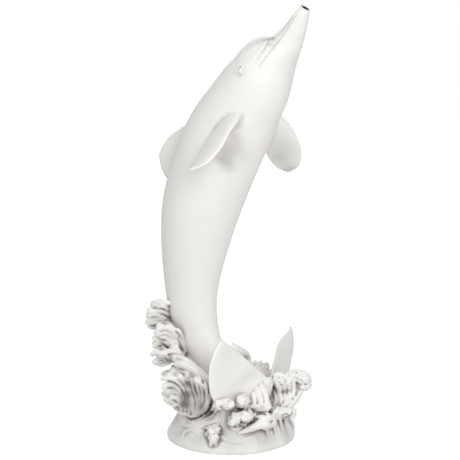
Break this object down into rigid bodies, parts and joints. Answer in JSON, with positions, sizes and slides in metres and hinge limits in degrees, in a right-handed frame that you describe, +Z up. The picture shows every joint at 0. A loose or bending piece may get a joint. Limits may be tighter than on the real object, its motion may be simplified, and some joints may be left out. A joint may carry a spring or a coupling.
{
  "type": "dolphin spitter statue",
  "caption": "Garden fountain statue of a leaping dolphin rising from breaking waves on a round plinth, piped to spit water from its beak.",
  "frame": {"origin": "middle of the plinth's flat underside", "axes": "+Z up, +X the way the dolphin's belly faces, so XZ is its plane of symmetry; -Y is the dolphin's right side"},
  "size_m": [0.3552, 0.338, 0.8437],
  "materials": {
    "stone_resin": "matt antique white with a light grey wash in the hollows",
    "black_tube": "matt",
    "black_nylon": "satin"
  },
  "bodies": {
    "root": {"dolphin_casting": "stone_resin", "water_tube": "black_tube", "hose_tail": "black_nylon"}
  },
  "joints": []
}
